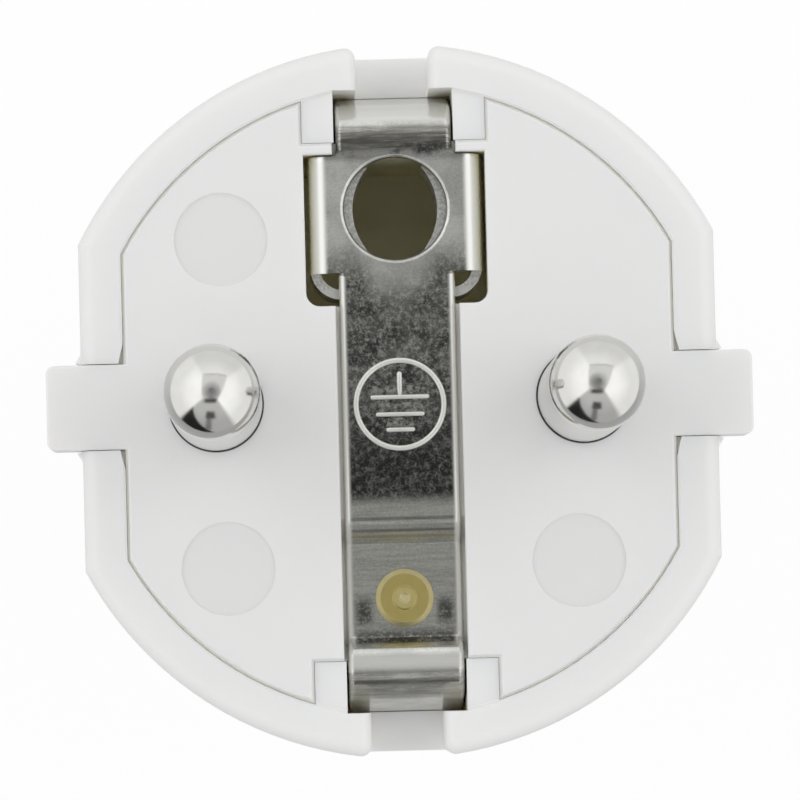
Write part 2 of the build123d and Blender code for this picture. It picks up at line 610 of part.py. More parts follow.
half = PIN_SPACING / 2
pieces = {
    "outer_cover": outer_cover(),
    "face_insert": face_insert(),
    "left_pin": Pos(-half, 0, 0) * contact_pin(),
    "right_pin": Pos(half, 0, 0) * contact_pin(),
    "left_terminal_screw": Pos(-half, 0, 0) * terminal_screw(),
    "right_terminal_screw": Pos(half, 0, 0) * terminal_screw(),
    "earth_strip": earth_strip(),
    "earth_terminal": earth_terminal(),
    "earth_terminal_screw": Pos(0, BLOCK_Y, 0) * terminal_screw(),
    "cord_clamp_bar": cord_clamp_bar(),
    "cord_clamp_screws": cord_clamp_screws(),
}

os.makedirs("parts", exist_ok=True)
for name, piece in pieces.items():
    export_step(Pos(0, 0, BODY_LENGTH) * piece, f"parts/{name}.step")
    print(f"{name}: {len(piece.solids())} solid(s), {piece.volume:.1f} mm3")
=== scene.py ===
# %% [markdown]
# # A two-pin plug with an earth strip
# The plug stands on its rear end with the pins up, and the camera looks down on its engagement face.
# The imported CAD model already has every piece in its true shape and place, so this lesson adds what
# CAD leaves out: the light of a small photo tent, the finishes of plastic and plated metal, and the
# sign that is stamped on the earth strip.

# %% Load the frame
from math import cos, pi, radians, sin

import bmesh
import bpy
from mathutils import Matrix, Vector


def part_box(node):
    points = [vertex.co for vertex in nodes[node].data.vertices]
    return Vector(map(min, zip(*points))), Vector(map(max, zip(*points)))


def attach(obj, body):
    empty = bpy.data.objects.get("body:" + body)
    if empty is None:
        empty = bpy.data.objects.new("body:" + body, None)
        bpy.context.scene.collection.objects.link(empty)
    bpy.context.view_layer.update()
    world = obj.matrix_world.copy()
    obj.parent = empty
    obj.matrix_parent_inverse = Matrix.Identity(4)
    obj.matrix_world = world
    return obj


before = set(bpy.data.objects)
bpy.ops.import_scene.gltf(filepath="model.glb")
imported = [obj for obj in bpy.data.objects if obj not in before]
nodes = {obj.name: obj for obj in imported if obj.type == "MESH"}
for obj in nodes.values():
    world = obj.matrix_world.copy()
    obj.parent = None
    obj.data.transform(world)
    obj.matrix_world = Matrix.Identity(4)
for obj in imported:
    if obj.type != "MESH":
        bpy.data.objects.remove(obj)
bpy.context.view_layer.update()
MM = 0.001                                    # the frame is in metres, the plug's sizes in millimetres
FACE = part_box("face_insert")[1][2]            # height of the engagement face
pin_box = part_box("right_pin")
PIN_AXIS = (pin_box[0][0] + pin_box[1][0]) / 2
PIN_TOP = pin_box[1][2]
print("nodes:", sorted(nodes))
print("face at", round(FACE / MM, 2), "mm, pins at", round(PIN_AXIS / MM, 2), "mm from the middle")

# %% [markdown]
# ## Camera
# The picture is taken from about 36 cm above the face with a long lens, a little to the lower left of
# the plug's middle: that is why both pins lean to the upper right. A camera object can be turned by
# hand, or by a track constraint, but a constraint can't set the small roll of the picture. Here the
# camera's three axes are worked out from where it stands, what it looks at and which way is up.

# %% Camera
CAMERA_FROM_FACE = Vector((-5.3, -13.4, 360.0)) * MM
LOOK_AT = Vector((0.0, 0.0, FACE))
ROLL = radians(1.45)                          # the plug is turned a little to the left in the picture
LENS = 314.0
SENSOR_WIDTH = 36.0
NEAREST = 0.01                                # the camera sees nothing that is closer than this

place = LOOK_AT + CAMERA_FROM_FACE
ahead = (LOOK_AT - place).normalized()
right = ahead.cross(Vector((sin(ROLL), cos(ROLL), 0.0))).normalized()
turn = Matrix((right, right.cross(ahead), -ahead)).transposed().to_4x4()

camera = bpy.data.objects.new("camera", bpy.data.cameras.new("camera"))
camera.data.lens = LENS
camera.data.sensor_width = SENSOR_WIDTH
camera.data.clip_start = NEAREST
camera.matrix_world = Matrix.Translation(place) @ turn
bpy.context.collection.objects.link(camera)
bpy.context.scene.camera = camera
bpy.context.scene.view_settings.view_transform = "Standard"
print("camera at", [round(value / MM, 1) for value in place])

# %% [markdown]
# ## Light tent
# Polished pins are mirrors, so most of their look is the room around them. The plug stands in a small
# white tent: bright walls left and right, a dimmer one at the far end, a grey one at the near end and a
# roof with a round opening for the camera. An image of such a room could be wrapped round the world,
# but a few nodes on the ray's direction give the same walls and stay editable. First come the helpers
# that add a node, wire it and do sums with it.

# %% Helpers for node trees
def wire(tree, output, socket):
    tree.links.new(output, socket)


def feed(tree, value, socket):
    """Set a socket to a number or a colour, or wire it to another node."""
    if isinstance(value, (int, float)):
        socket.default_value = value
    elif isinstance(value, tuple):
        socket.default_value = (*value, 1.0)
    else:
        wire(tree, value, socket)


def add(tree, kind, **settings):
    """A node, with settings for its inputs by name and for its own properties."""
    made = tree.nodes.new(kind)
    for name, value in settings.items():
        if name in made.inputs:
            made.inputs[name].default_value = value
        else:
            setattr(made, name, value)
    return made


def split(tree, vector):
    """The three parts of a place or a direction."""
    made = add(tree, "ShaderNodeSeparateXYZ")
    wire(tree, vector, made.inputs[0])
    return made.outputs


print("helpers that add and wire nodes: ready")

# %% [markdown]
# Most masks in this lesson are sums on a coordinate: a soft step, a soft band or a mix of two numbers.
# Blender has nodes for such sums, and these helpers place them and wire what goes in.

# %% Helpers for sums
def calc(tree, operation, first, second=0.0):
    made = add(tree, "ShaderNodeMath", operation=operation)
    feed(tree, first, made.inputs[0])
    feed(tree, second, made.inputs[1])
    return made.outputs[0]


def product(tree, *values):
    result = values[0]
    for value in values[1:]:
        result = calc(tree, "MULTIPLY", result, value)
    return result


def fade(tree, value, low, high, start=0.0, end=1.0):
    """A smooth step from start to end while value goes from low to high."""
    made = add(tree, "ShaderNodeMapRange", interpolation_type="SMOOTHSTEP")
    feed(tree, value, made.inputs["Value"])
    for name, number in (("From Min", low), ("From Max", high), ("To Min", start), ("To Max", end)):
        made.inputs[name].default_value = number
    return made.outputs["Result"]


def fade_out(tree, value, low, high):
    """1 up to low, falling to 0 at high."""
    return fade(tree, value, low, high, 1.0, 0.0)


def band(tree, value, middle, core, soft):
    """1 near the middle value, falling to 0 over a soft edge."""
    away = calc(tree, "ABSOLUTE", calc(tree, "SUBTRACT", value, middle))
    return fade_out(tree, away, core, core + soft)


def blend(tree, share, first, second):
    """first + share * (second - first), for numbers or sockets."""
    made = add(tree, "ShaderNodeMix", data_type="FLOAT")
    for socket, value in zip((made.inputs[0], made.inputs[2], made.inputs[3]), (share, first, second)):
        feed(tree, value, socket)
    return made.outputs[0]


print("helpers for sums: ready")

# %% [markdown]
# ### Walls and roof
# The walls meet in upright corners, so their brightness goes by the ray's compass angle, in a colour
# ramp. The roof is a flat sheet, so its edges are straight lines in the ray's slope, and the opening
# for the lens is a round grey place in its middle.

# %% Walls and roof of the tent
SIDE_WALL = 1.12
FAR_WALL = 0.94
NEAR_WALL = 0.56
CORNERS = [(-180, SIDE_WALL), (-146, SIDE_WALL), (-139, NEAR_WALL), (-60, NEAR_WALL), (-52, SIDE_WALL),
           (34, SIDE_WALL), (43, FAR_WALL), (113, FAR_WALL), (121, SIDE_WALL), (180, SIDE_WALL)]
HALF_TURN = 180.0
WALL_SHADES = (0.84, 1.06)                    # the walls get lighter from their foot to their top
WALL_TOP = 0.8                                # upward part of a ray to their top
ROOF = 0.78
LENS_OPENING = 0.22
OPENING_RIM = (0.90, 0.99)                    # upward parts of the rays to the opening's soft rim
LEFT_EDGE = 0.44                              # how far out the roof's edges lie for their height
RIGHT_EDGE = 0.47
RIGHT_SKEW = 0.52                             # the right edge runs askew
FAR_EDGE = 0.90
NEAR_EDGE = 0.42
EDGE_SOFT = 0.05

world = bpy.data.worlds.new("light_tent")
bpy.context.scene.world = world
world.use_nodes = True
tent = world.node_tree
across, along, up = split(tent, add(tent, "ShaderNodeTexCoord").outputs["Generated"])
compass = calc(tent, "DEGREES", calc(tent, "ARCTAN2", along, across))
height = calc(tent, "DEGREES", calc(tent, "ARCSINE", up))

ramp = add(tent, "ShaderNodeValToRGB")
turned = calc(tent, "ADD", compass, HALF_TURN)
wire(tent, calc(tent, "DIVIDE", turned, 2 * HALF_TURN), ramp.inputs["Fac"])
while len(ramp.color_ramp.elements) < len(CORNERS):
    ramp.color_ramp.elements.new(1.0)
for stop, (angle, level) in zip(ramp.color_ramp.elements, CORNERS):
    stop.position = (angle + HALF_TURN) / (2 * HALF_TURN)
    stop.color = (level, level, level, 1.0)


def beyond(x, y, z):
    """1 past a roof edge, which is a plane through the plug."""
    reach = calc(tent, "ADD", product(tent, across, x), product(tent, along, y))
    return fade(tent, calc(tent, "ADD", reach, product(tent, up, z)), -EDGE_SOFT, EDGE_SOFT)


off_sides = calc(tent, "MAXIMUM", beyond(-1.0, 0.0, -LEFT_EDGE), beyond(1.0, -RIGHT_SKEW, -RIGHT_EDGE))
off_ends = calc(tent, "MAXIMUM", beyond(0.0, 1.0, -FAR_EDGE), beyond(0.0, -1.0, -NEAR_EDGE))
off_roof = calc(tent, "MAXIMUM", off_sides, off_ends)
ceiling = fade(tent, up, *OPENING_RIM, ROOF, LENS_OPENING)
walls = product(tent, ramp.outputs["Color"], fade(tent, up, 0.0, WALL_TOP, *WALL_SHADES))
room = blend(tent, off_roof, ceiling, walls)
print("tent:", len(CORNERS), "corner angles,", len(tent.nodes), "nodes")

# %% [markdown]
# ### Dark places
# A room without any dark place makes chrome look like grey paint. So the roof gets a seam at its far
# edge and one at its near edge, a black card leans in the lower left corner, and a stand with a head
# and a foot is placed at the near wall. Only mirror rays see all this: matt surfaces get an even light,
# and the camera sees plain white.

# %% Dark places in the tent
FAR_SEAM = (0.015, 0.04)                      # half width and soft edge
FAR_SEAM_SHARE = 0.5
NEAR_SEAM = (0.05, 0.09)
NEAR_SEAM_RUN = (-0.05, 0.16, 0.20)           # middle, half length and soft ends
CARD_SIDE = (-144, -139)                      # compass angles across its soft left side
CARD_TOP = (-115, -107)                       # compass angle plus height across its soft slanting top
STAND_HEAD = ((-94, 7, 8), (31, 5, 9))        # compass angle and height: middle, half size and soft edge
STAND_FOOT = ((-97, 2, 6), (8, 18, 8))
STAND_FOOT_SHARE = 0.75
FAR_SEAM_LEVEL = 0.2
NEAR_SEAM_LEVEL = 0.06
CARD_LEVEL = 0.015
STAND_HEAD_LEVEL = 0.06
STAND_FOOT_LEVEL = 0.1
AMBIENT = 0.80                                # what the tent gives to matt surfaces

under_roof = calc(tent, "SUBTRACT", 1.0, off_sides)
far_slope = calc(tent, "SUBTRACT", along, product(tent, up, FAR_EDGE))
near_slope = calc(tent, "ADD", along, product(tent, up, NEAR_EDGE))
far_seam = product(tent, under_roof, band(tent, far_slope, 0.0, *FAR_SEAM), FAR_SEAM_SHARE)
near_seam = product(tent, under_roof, band(tent, near_slope, 0.0, *NEAR_SEAM),
                    band(tent, across, *NEAR_SEAM_RUN))
slanted = calc(tent, "ADD", compass, height)
card = product(tent, fade(tent, compass, *CARD_SIDE), fade_out(tent, slanted, *CARD_TOP))
stand_head = product(tent, band(tent, compass, *STAND_HEAD[0]), band(tent, height, *STAND_HEAD[1]))
stand_foot = product(tent, band(tent, compass, *STAND_FOOT[0]), band(tent, height, *STAND_FOOT[1]),
                     STAND_FOOT_SHARE)
shades = [(far_seam, FAR_SEAM_LEVEL), (near_seam, NEAR_SEAM_LEVEL), (card, CARD_LEVEL),
          (stand_head, STAND_HEAD_LEVEL), (stand_foot, STAND_FOOT_LEVEL)]
for shade, level in shades:
    room = blend(tent, shade, room, level)

rays = add(tent, "ShaderNodeLightPath").outputs
seen = blend(tent, rays["Is Glossy Ray"], AMBIENT, room)
seen = blend(tent, rays["Is Camera Ray"], seen, 1.0)
background = tent.nodes["Background"].inputs
wire(tent, seen, background["Strength"])
background["Color"].default_value = (1.0, 1.0, 1.0, 1.0)
print("dark places:", len(shades), "tent nodes:", len(tent.nodes))

# %% [markdown]
# ## Lamps
# Two wide lamps stand left and right, so shadows stay soft and both flanks of a pin are lit. A sun or a
# point lamp would draw hard shadows. The lamps are hidden from mirror rays, because the tent's walls
# already are what the pins should show.

# %% Lamps
LAMP_SIZE = 0.5
LAMP_POWER = 0.85
LAMP_PLACES = {"left_lamp": (-0.45, 0.12, 0.50), "right_lamp": (0.45, 0.12, 0.50)}

for name, lamp_place in LAMP_PLACES.items():
    lamp = bpy.data.objects.new(name, bpy.data.lights.new(name, "AREA"))
    lamp.data.size = LAMP_SIZE
    lamp.data.energy = LAMP_POWER
    lamp.location = lamp_place
    lamp.rotation_euler = (LOOK_AT - Vector(lamp_place)).to_track_quat("-Z", "Y").to_euler()
    lamp.visible_glossy = False
    bpy.context.collection.objects.link(lamp)
print("lamps:", list(LAMP_PLACES))

# %% [markdown]
# ## Floor
# The floor is a round sheet of white paper, small enough that the pins mirror the tent's walls beyond
# it. It glows for the camera, fully so at its rim, where it has to vanish into the white background,
# and its matt part still takes the plug's shadow. In the pins it looks grey, darker at the near side.

# %% Floor
FLOOR_R = 0.137
FLOOR_SIDES = 96
FLOOR_WHITE = (0.9, 0.9, 0.9, 1.0)
FLOOR_GLOW = 0.92                             # share of glow in the middle; at the rim it is 1
GLOW_RISE = (0.6 * FLOOR_R, 0.97 * FLOOR_R)   # where it rises from the one to the other
FLOOR_MIRRORED = (0.42, 0.72)                 # how bright the paper looks in the pins, near and far
MIRRORED_REACH = 0.5 * FLOOR_R

paper = bpy.data.materials.new("white_paper")
paper.use_nodes = True
tree = paper.node_tree
tree.nodes.clear()
rays = add(tree, "ShaderNodeLightPath").outputs
on_paper = add(tree, "ShaderNodeTexCoord").outputs["Object"]
from_middle = add(tree, "ShaderNodeVectorMath", operation="LENGTH")
wire(tree, on_paper, from_middle.inputs[0])
reflected = fade(tree, split(tree, on_paper)[1], -MIRRORED_REACH, MIRRORED_REACH, *FLOOR_MIRRORED)
share = fade(tree, from_middle.outputs["Value"], *GLOW_RISE, FLOOR_GLOW, 1.0)
mirrored = calc(tree, "MAXIMUM", rays["Is Glossy Ray"], rays["Is Transmission Ray"])
glow = add(tree, "ShaderNodeEmission")
wire(tree, blend(tree, mirrored, 1.0, reflected), glow.inputs["Strength"])
matt = add(tree, "ShaderNodeBsdfDiffuse", Color=FLOOR_WHITE)
mixed = add(tree, "ShaderNodeMixShader")
seen = calc(tree, "MAXIMUM", product(tree, rays["Is Camera Ray"], share), mirrored)
for output, socket in zip((seen, matt.outputs[0], glow.outputs[0]), mixed.inputs):
    wire(tree, output, socket)
wire(tree, mixed.outputs[0], add(tree, "ShaderNodeOutputMaterial").inputs["Surface"])

shape = bmesh.new()
bmesh.ops.create_circle(shape, cap_ends=True, segments=FLOOR_SIDES, radius=FLOOR_R)
floor_mesh = bpy.data.meshes.new("floor")
shape.to_mesh(floor_mesh)
shape.free()
floor_mesh.materials.append(paper)
floor = bpy.data.objects.new("floor", floor_mesh)
bpy.context.collection.objects.link(floor)
print("floor:", round(2 * FLOOR_R, 3), "m wide")

# %% [markdown]
# ## Patterns
# Every finish is drawn on Object coordinates, in millimetres, so a mark stays where it belongs on its
# piece. A painted image would need unwrapped pieces; noise and distances need none. These helpers make
# the few patterns that the finishes share.

# %% Helpers for patterns
def new_finish(name):
    finish = bpy.data.materials.new(name)
    finish.use_nodes = True
    return finish, finish.node_tree, finish.node_tree.nodes["Principled BSDF"].inputs


def millimetres(tree):
    """Object coordinates in millimetres."""
    scale = add(tree, "ShaderNodeMapping")
    scale.inputs["Scale"].default_value = (1 / MM, 1 / MM, 1 / MM)
    wire(tree, add(tree, "ShaderNodeTexCoord").outputs["Object"], scale.inputs["Vector"])
    return scale.outputs["Vector"]


def noise(tree, where, scale, detail=2.0, rough=0.5):
    made = add(tree, "ShaderNodeTexNoise", Scale=scale, Detail=detail, Roughness=rough)
    wire(tree, where, made.inputs["Vector"])
    return made.outputs["Fac"]


def distance(tree, x, y):
    squares = calc(tree, "ADD", calc(tree, "POWER", x, 2.0), calc(tree, "POWER", y, 2.0))
    return calc(tree, "SQRT", squares)


def tint(tree, share, first, second):
    """A colour between two colours or colour sockets."""
    made = add(tree, "ShaderNodeMix", data_type="RGBA")
    for socket, value in zip((made.inputs[0], made.inputs[6], made.inputs[7]), (share, first, second)):
        feed(tree, value, socket)
    return made.outputs[2]


def bump(tree, height, strength, depth, below=None):
    """A bump that is depth millimetres high, on top of another bump if one is given."""
    made = add(tree, "ShaderNodeBump", Strength=strength, Distance=depth * MM)
    wire(tree, height, made.inputs["Height"])
    if below is not None:
        wire(tree, below, made.inputs["Normal"])
    return made.outputs["Normal"]


print("helpers for patterns: ready")

# %% [markdown]
# ## Marks and painted light on the contact carrier
# The carrier is the white face that holds the pins. The pocket behind the earth hole is painted warm,
# standing in for the light that bounces about in it, and the strip's channel is painted grey where it
# lies deep and narrow, as painted shade. Three shallow round fields are a shade darker, and a painted
# line of gap shade runs round the foot of each pin. These could be separate pieces, but here they are
# only colour on one moulding, so masks on X and Y draw them.

# %% Marks and painted light on the contact carrier
POCKET = (4.9, 9.3, 4.3)                      # half width, middle and half length
POCKET_SOFT = 0.2
# painted bounce light: the pocket behind the earth hole is painted warm
POCKET_BOUNCE_COLOUR = (1.0, 0.95, 0.68)
CHANNEL = (3.5, 3.7)                          # half width of the strip's channel, with a soft edge
IN_CHANNEL = (0.05, 0.35)                     # openness from deep in the channel to out of it
# painted shade where the strip's channel lies deep and narrow
CHANNEL_SHADE_COLOUR = (0.50, 0.50, 0.46)
FIELDS = [(-9.05, 8.5), (-9.05, -8.5), (9.05, -8.5)]
FIELD_RIM = (2.39, 2.45)
FIELD_COLOUR = (0.745, 0.745, 0.74)
PIN_GAP_SHADE = (2.45, 2.50)                       # radius of the painted gap shade round a pin, with a soft edge
# colour of the painted gap shade round each pin
PIN_GAP_SHADE_COLOUR = (0.11, 0.11, 0.105)


def carrier_marks_and_painted_light(tree, where, near_open, deep, colour):
    x, y, _ = split(tree, where)
    aside = calc(tree, "ABSOLUTE", x)
    half_width, middle, half_length = POCKET
    # painted bounce light deep in the pocket
    in_pocket = product(tree, deep, band(tree, aside, 0.0, half_width, POCKET_SOFT),
                        band(tree, y, middle, half_length, POCKET_SOFT))
    colour = tint(tree, in_pocket, colour, POCKET_BOUNCE_COLOUR)
    # painted shade in the channel's narrow gaps
    channel_shade = product(tree, fade_out(tree, aside, *CHANNEL), fade_out(tree, near_open, *IN_CHANNEL))
    colour = tint(tree, channel_shade, colour, CHANNEL_SHADE_COLOUR)
    for field_x, field_y in FIELDS:
        radius = distance(tree, calc(tree, "SUBTRACT", x, field_x), calc(tree, "SUBTRACT", y, field_y))
        colour = tint(tree, fade_out(tree, radius, *FIELD_RIM), colour, FIELD_COLOUR)
    # painted gap shade round the foot of each pin
    radius = distance(tree, calc(tree, "SUBTRACT", aside, PIN_AXIS / MM), y)
    return tint(tree, fade_out(tree, radius, *PIN_GAP_SHADE), colour, PIN_GAP_SHADE_COLOUR)


print("marks: a pocket, a channel,", len(FIELDS), "fields and a line round each pin")

# %% [markdown]
# ## White plastic
# The cover and the contact carrier are moulded from a white plastic with a satin face. It isn't a flat
# white: the surface has the fine grain of the mould, a few specks sit in it, and some light enters it
# and comes out again. Light and shade are also painted into its colour where it lies sheltered: such
# places are painted lighter, for the light that bounces about there, and the gaps are painted cream, and
# olive grey on the clamp. Two ambient occlusion nodes find such places, one with a short reach for the
# gaps and one with a long reach for the pockets, so one finish does for every plastic piece.

# %% White plastic
GAP_REACH = 1.6 * MM
POCKET_REACH = 14.0 * MM
IN_GAP = (0.15, 0.65)                         # openness from deep inside to out of it
IN_SHELTER = (0.40, 0.75)
IN_POCKET = (0.10, 0.30)
# painted light: sheltered plastic is painted lighter, for the light that bounces about there
SHELTER_LIGHT_COLOUR = (0.93, 0.93, 0.925)
CLOUD_SCALE = 0.12
CLOUD_SHADE = 0.97
SPECK_SCALE = 0.45
SPECK_SIZE = (0.02, 0.06)
SPECK_SHARE = 0.12
SPECK_SHADE = 0.7
SCATTERED = 0.35                              # share of the light that enters the plastic
SCATTER_COLOURS = (1.0, 0.90, 0.70)           # red travels furthest in it
SCATTER_REACH = 1.5 * MM
SATIN = (0.36, 0.44)                          # roughness
SATIN_SCALE = 0.6
MIDDLE_NOISE = (0.3, 0.7)                     # most of a noise's values lie between these
GRAIN = (0.12, 0.02)                          # strength and height of the mould's grain


def openness(tree, reach):
    """1 on open ground, 0 where other surfaces stand all round within reach."""
    return add(tree, "ShaderNodeAmbientOcclusion", Distance=reach, samples=8).outputs["AO"]


def shaded(colour, shade):
    return tuple(part * shade for part in colour)


def white_plastic(name, colour, gap_shading_and_speck_colour, grain_scale, face_marks_and_light=None):
    finish, tree, shader = new_finish(name)
    where = millimetres(tree)
    white = tint(tree, noise(tree, where, CLOUD_SCALE), colour, shaded(colour, CLOUD_SHADE))
    specks = add(tree, "ShaderNodeTexVoronoi", Scale=SPECK_SCALE)
    wire(tree, where, specks.inputs["Vector"])
    on_speck = fade(tree, specks.outputs["Distance"], *SPECK_SIZE, SPECK_SHARE, 0.0)
    # the specks take a darker share of the painted gap colour
    white = tint(tree, on_speck, white, shaded(gap_shading_and_speck_colour, SPECK_SHADE))
    near_open = openness(tree, GAP_REACH)
    far_open = openness(tree, POCKET_REACH)
    # painted light: lighter where the plastic lies sheltered
    white = tint(tree, fade_out(tree, far_open, *IN_SHELTER), white, SHELTER_LIGHT_COLOUR)
    # painted bounce light and shade in the narrow gaps
    white = tint(tree, fade_out(tree, near_open, *IN_GAP), white, gap_shading_and_speck_colour)
    if face_marks_and_light:
        white = face_marks_and_light(tree, where, near_open, fade_out(tree, far_open, *IN_POCKET), white)
    wire(tree, white, shader["Base Color"])
    shader["Subsurface Weight"].default_value = SCATTERED
    shader["Subsurface Radius"].default_value = SCATTER_COLOURS
    shader["Subsurface Scale"].default_value = SCATTER_REACH
    wire(tree, fade(tree, noise(tree, where, SATIN_SCALE), *MIDDLE_NOISE, *SATIN), shader["Roughness"])
    wire(tree, bump(tree, noise(tree, where, grain_scale), *GRAIN), shader["Normal"])
    return finish


# gap colours: painted bounce light on the cover and the carrier, painted shade on the clamp
cover_plastic = white_plastic("cover_plastic", colour=(0.80, 0.80, 0.795),
                              gap_shading_and_speck_colour=(0.97, 0.96, 0.90), grain_scale=3.0)
carrier_plastic = white_plastic("carrier_plastic", colour=(0.79, 0.79, 0.785),
                                gap_shading_and_speck_colour=(0.95, 0.94, 0.87), grain_scale=3.5,
                                face_marks_and_light=carrier_marks_and_painted_light)
clamp_plastic = white_plastic("clamp_plastic", colour=(0.74, 0.74, 0.72),
                              gap_shading_and_speck_colour=(0.72, 0.69, 0.55), grain_scale=2.5)
print("plastics:", cover_plastic.name, carrier_plastic.name, clamp_plastic.name)

# %% [markdown]
# ## Plated pins
# The pins are turned brass with a bright nickel plate. The lathe leaves rings that run round each
# pin's own axis, so the pattern is drawn on the distance from that axis: the left and right pin are
# mirror images, and taking X without its sign serves both with one finish. The rings could be cut as
# grooves, but they are far finer than the mesh, so a low bump draws them. Below the dome the shank is
# duller, because it rubs in the socket.

# %% Plated pins
LATHE_PITCH = 0.09                            # millimetres from ring to ring
LATHE_RINGS = (0.06, 0.002)                   # strength and height
RIPPLE = (0.05, 0.01)
RIPPLE_SCALE = 6.0
BRIGHT_NICKEL = (0.80, 0.80, 0.78)
DULL_NICKEL = (0.72, 0.71, 0.68)
DULL_NOISE = (1.4, 4.0)                       # scale and detail
DULLED = (0.3, 0.75)
PLATE_ROUGHNESS = (0.10, 0.16)
SHANK_ROUGHNESS = 0.10                        # what rubbing adds
SHANK_BELOW_TOP = (3.0, 2.4)                  # the rubbing ends between these depths under the top


def pin_plating():
    finish, tree, shader = new_finish("pin_plating")
    shader["Metallic"].default_value = 1.0
    where = millimetres(tree)
    x, y, z = split(tree, where)
    radius = distance(tree, calc(tree, "SUBTRACT", calc(tree, "ABSOLUTE", x), PIN_AXIS / MM), y)
    rings = calc(tree, "SINE", calc(tree, "MULTIPLY", radius, 2 * pi / LATHE_PITCH))
    dulled = noise(tree, where, *DULL_NOISE)
    wire(tree, tint(tree, dulled, BRIGHT_NICKEL, DULL_NICKEL), shader["Base Color"])
    shank, dome = [PIN_TOP / MM - below for below in SHANK_BELOW_TOP]
    rubbed = fade(tree, z, shank, dome, SHANK_ROUGHNESS, 0.0)
    rough = calc(tree, "ADD", rubbed, fade(tree, dulled, *DULLED, *PLATE_ROUGHNESS))
    wire(tree, rough, shader["Roughness"])
    turned = bump(tree, rings, *LATHE_RINGS)
    wire(tree, bump(tree, noise(tree, where, RIPPLE_SCALE), *RIPPLE, turned), shader["Normal"])
    return finish


pin_finish = pin_plating()
print("pins:", pin_finish.name)

# %% [markdown]
# ## Earth strip
# The strip is rolled sheet, nickel plated and much duller than the pins. Its look changes along its
# length. A painted image could hold all of that, but the folded sheet would have to be unwrapped first,
# so the finish is built from layers, each with a mask on the strip's own coordinates. The first layer
# is a painted dark reflection in the middle, standing in for the dark lens opening that the flat sheet
# mirrors: dark, darkest towards the jog, with fine light specks and hair-thin scratches. Three noises at
# different scales make it, and one of them, cut to a thin band, draws the scratches.

# %% Painted dark reflection on the strip
HAIR_NOISE = (0.9, 1.0)                       # scale and detail
HAIR = (0.5, 0.002, 0.006)                    # middle, half width and soft edge, as values of a noise
HAIR_CLOUDS = (0.50, 0.60)                    # the scratches lie in the lighter clouds only
# colours of the painted dark reflection, and of the specks and scratches in it
DARK_REFLECTION_CLOUDS = (0.35, 0.65)
DARK_REFLECTION_COLOURS = [(0.08, 0.083, 0.076), (0.20, 0.204, 0.188)]
DARK_REFLECTION_SPECK = (0.70, 0.70, 0.65)
DARK_REFLECTION_HAIR = (0.62, 0.62, 0.57)
# the darkest part of the painted dark reflection, towards the jog
DARKEST = (0.042, 0.043, 0.041)
DARKEST_SPECK = (0.36, 0.36, 0.33)
DARKEST_HAIR = (0.46, 0.46, 0.42)
DARKEST_HAIR_SHARE = 0.6
DARKEST_RUN = (-4.0, 2.0)                     # from the darkest end to the lighter one


# painted dark reflection, with light specks and hair-thin scratches in it
def dark_reflection_and_scratches(tree, where, along, clouds, specks):
    hairs = product(tree, band(tree, noise(tree, where, *HAIR_NOISE), *HAIR),
                    fade(tree, clouds, *HAIR_CLOUDS))
    dark = tint(tree, fade(tree, clouds, *DARK_REFLECTION_CLOUDS), *DARK_REFLECTION_COLOURS)
    dark = tint(tree, specks, dark, DARK_REFLECTION_SPECK)
    dark = tint(tree, hairs, dark, DARK_REFLECTION_HAIR)
    darkest = tint(tree, specks, DARKEST, DARKEST_SPECK)
    darkest = tint(tree, product(tree, hairs, DARKEST_HAIR_SHARE), darkest, DARKEST_HAIR)
    return tint(tree, fade(tree, along, *DARKEST_RUN), darkest, dark)


print("tarnish: darkest below", DARKEST_RUN[0], "mm")

# %% [markdown]
# The second layer is the bare plating. It is lively and patchy round the earth hole and over the end
# bends, dull and lined by the rolls beyond the jog, and it has a polish along its rounded edges and on
# the crests of the bends, where its colour is painted brighter still as a highlight. The spring arms
# that show inside the hole are scraped by the pin they grip.

# %% Bare plating of the strip
STRIP_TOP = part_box("earth_strip")[1][2]
FINE_NOISE = (8.0, 4.0, 0.7)                  # scale, detail and roughness
PATCH_NOISE = (0.5, 3.0)
SCRAPE_NOISE = (6.0, 4.0, 0.7)
MIDDLE_GRAIN = (0.35, 0.65)                   # most values of a fine noise lie between these
FINE_SHARE = 0.35
PATCHY_SHARE = 0.65
LINED_SHARE = 0.65
LIVELY_COLOURS = [(0.52, 0.52, 0.49), (0.82, 0.82, 0.78)]
LINED_COLOURS = [(0.30, 0.30, 0.273), (0.62, 0.62, 0.575)]
LIVELY_RUN = (-2.0, 6.0)                      # from lined to lively
END_BENDS = (12.5, 12.9)
HIGH_CREST = (14.3, 14.7)
# polish with painted highlight: the bright colours of the edges and the crests
EDGE_POLISH_AND_HIGHLIGHT = [(0.78, 0.78, 0.75), (0.88, 0.88, 0.85)]      # along the strip, and on its wings
WING_EDGE = (3.1, 3.3)
WINGS = (9.65, 3.0)                           # middle and half length
WING_SOFT = 0.2
ARMS_LONGER = 0.7                             # the spring arms reach further than the wings
ARMS_BELOW = (0.7, 0.5)                       # how far they lie under the strip's top, with a soft edge
ARM_COLOURS = [(0.60, 0.60, 0.56), (0.96, 0.96, 0.93)]


